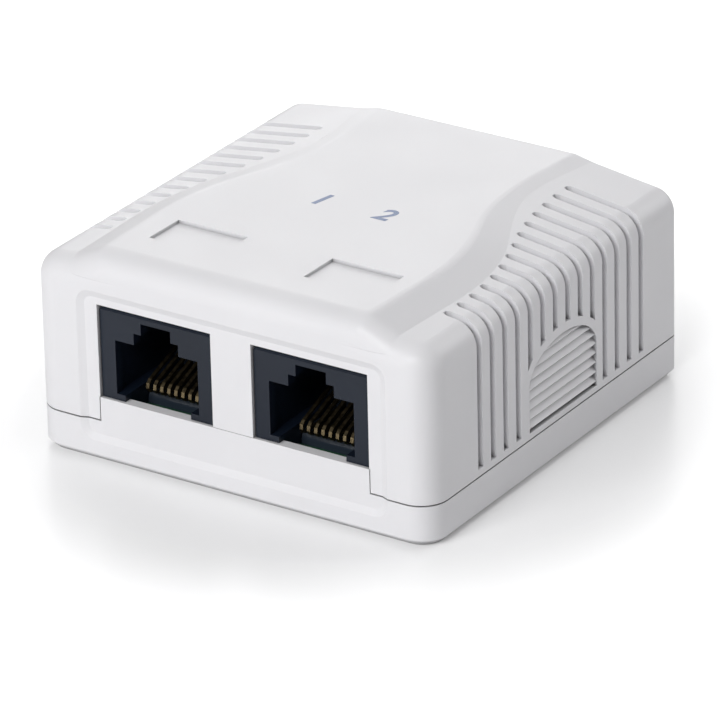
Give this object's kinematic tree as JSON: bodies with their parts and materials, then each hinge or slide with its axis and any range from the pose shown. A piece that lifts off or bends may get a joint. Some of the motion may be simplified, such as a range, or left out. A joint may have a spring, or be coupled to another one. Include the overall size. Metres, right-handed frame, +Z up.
{
  "type": "surface mount modular jack box",
  "caption": "Square white surface-mount outlet box with modular sockets in its front, a sloping slotted cover that lifts off and louvred cable break-outs in its sides.",
  "frame": {"origin": "middle of the underside, where the box stands on the wall or desk", "axes": "+X to the right along the front panel, +Y from the front panel to the back, +Z up out of the wall side"},
  "size_m": [0.0566, 0.0564, 0.0275],
  "materials": {
    "white_abs_cover": "fine satin moulded white",
    "white_abs_base": "fine satin moulded white",
    "board": "green solder mask",
    "screw_steel": "zinc plated",
    "jack_plastic": "dark blue-grey moulded",
    "contact_gold": "gold plated",
    "block_plastic": "off-white moulded",
    "blade_metal": "tin plated"
  },
  "bodies": {
    "base": {"base": "white_abs_base", "circuit_board": "board", "board_screws": "screw_steel", "jack_housing_left": "jack_plastic", "contact_carrier_left": "jack_plastic", "jack_contacts_left": "contact_gold", "jack_contacts_left_rear": "contact_gold", "wire_block_left_front": "block_plastic", "block_blades_left_front": "blade_metal", "wire_block_left_rear": "block_plastic", "block_blades_left_rear": "blade_metal", "jack_housing_right": "jack_plastic", "contact_carrier_right": "jack_plastic", "jack_contacts_right": "contact_gold", "jack_contacts_right_rear": "contact_gold", "wire_block_right_front": "block_plastic", "block_blades_right_front": "blade_metal", "wire_block_right_rear": "block_plastic", "block_blades_right_rear": "blade_metal"},
    "cover": {"cover": "white_abs_cover"}
  },
  "joints": [
    {"name": "cover_lift", "type": "slide", "parent": "base", "child": "cover", "axis": [0, 0, 1], "range_m": [0, 0.03]}
  ]
}
